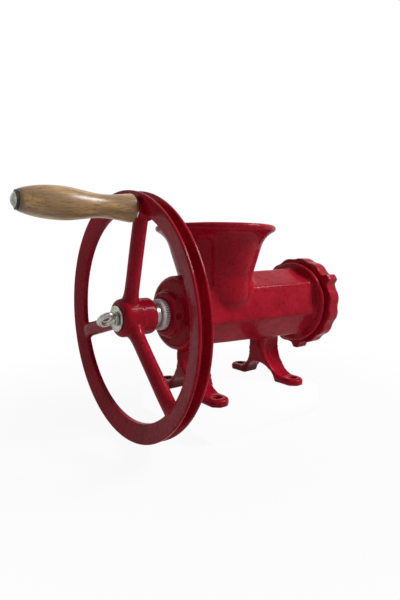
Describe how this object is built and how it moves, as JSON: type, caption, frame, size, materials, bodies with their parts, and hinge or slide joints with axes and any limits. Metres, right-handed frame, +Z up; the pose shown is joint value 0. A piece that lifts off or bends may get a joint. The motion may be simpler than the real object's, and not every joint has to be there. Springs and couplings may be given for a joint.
{
  "type": "hand crank meat grinder",
  "caption": "Red cast iron bench meat grinder with trumpet hopper, faceted barrel, grooved spoked flywheel and turned wooden crank handle.",
  "frame": {"origin": "on the bench plane under the feet, midway between the four foot holes", "axes": "+X along the shaft axis from the flywheel to the grinding outlet, +Z up, +Y to the left of the outlet direction"},
  "size_m": [0.4405, 0.2812, 0.2812],
  "materials": {
    "red_paint": "gloss red enamel on a cast surface",
    "bright_steel": "machined steel",
    "zinc_plate": "bright zinc plating",
    "dark_steel": "dull dark steel",
    "white_nylon": "moulded nylon",
    "fibre_washer": "pressed fibre",
    "varnished_wood": "turned and varnished"
  },
  "bodies": {
    "frame": {"body_casting": "red_paint", "rear_bush": "white_nylon", "bush_set_screw": "red_paint", "thrust_washer": "fibre_washer", "plate_key": "bright_steel"},
    "rotor": {"auger": "bright_steel", "drive_key": "bright_steel", "knife_stud": "bright_steel", "cross_knife": "bright_steel", "flywheel": "red_paint", "handle_spindle": "zinc_plate", "handle_end_washer": "dark_steel", "handle_base_washer": "zinc_plate", "handle_spring_washer": "zinc_plate", "handle_nut": "zinc_plate"},
    "grip": {"handle_grip": "varnished_wood"},
    "plate": {"hole_plate": "bright_steel"},
    "nut": {"ring_nut": "red_paint"},
    "washer": {"wheel_washer": "zinc_plate"},
    "eye": {"eye_bolt": "zinc_plate"}
  },
  "joints": [
    {"name": "wheel_turn", "type": "hinge", "parent": "frame", "child": "rotor", "pos_m": [0, 0, 0.1066], "axis": [1, 0, 0], "continuous": true},
    {"name": "grip_spin", "type": "hinge", "parent": "rotor", "child": "grip", "pos_m": [-0.2, -0.03184, 0.22541], "axis": [1, 0, 0], "continuous": true},
    {"name": "plate_slide", "type": "slide", "parent": "frame", "child": "plate", "axis": [1, 0, 0], "range_m": [0, 0.009]},
    {"name": "ring_nut_turn", "type": "hinge", "parent": "plate", "child": "nut", "pos_m": [0.14, 0, 0.1066], "axis": [1, 0, 0], "range_deg": [0, 1080]},
    {"name": "washer_slide", "type": "slide", "parent": "rotor", "child": "washer", "axis": [-1, 0, 0], "range_m": [0, 0.00875]},
    {"name": "eye_bolt_turn", "type": "hinge", "parent": "washer", "child": "eye", "pos_m": [-0.17, 0, 0.1066], "axis": [-1, 0, 0], "range_deg": [0, 1800]}
  ],
  "couplings": [
    {"joint": "plate_slide", "follows": "ring_nut_turn", "m_per_rad": 0.00047746},
    {"joint": "washer_slide", "follows": "eye_bolt_turn", "m_per_rad": 0.00027852}
  ]
}
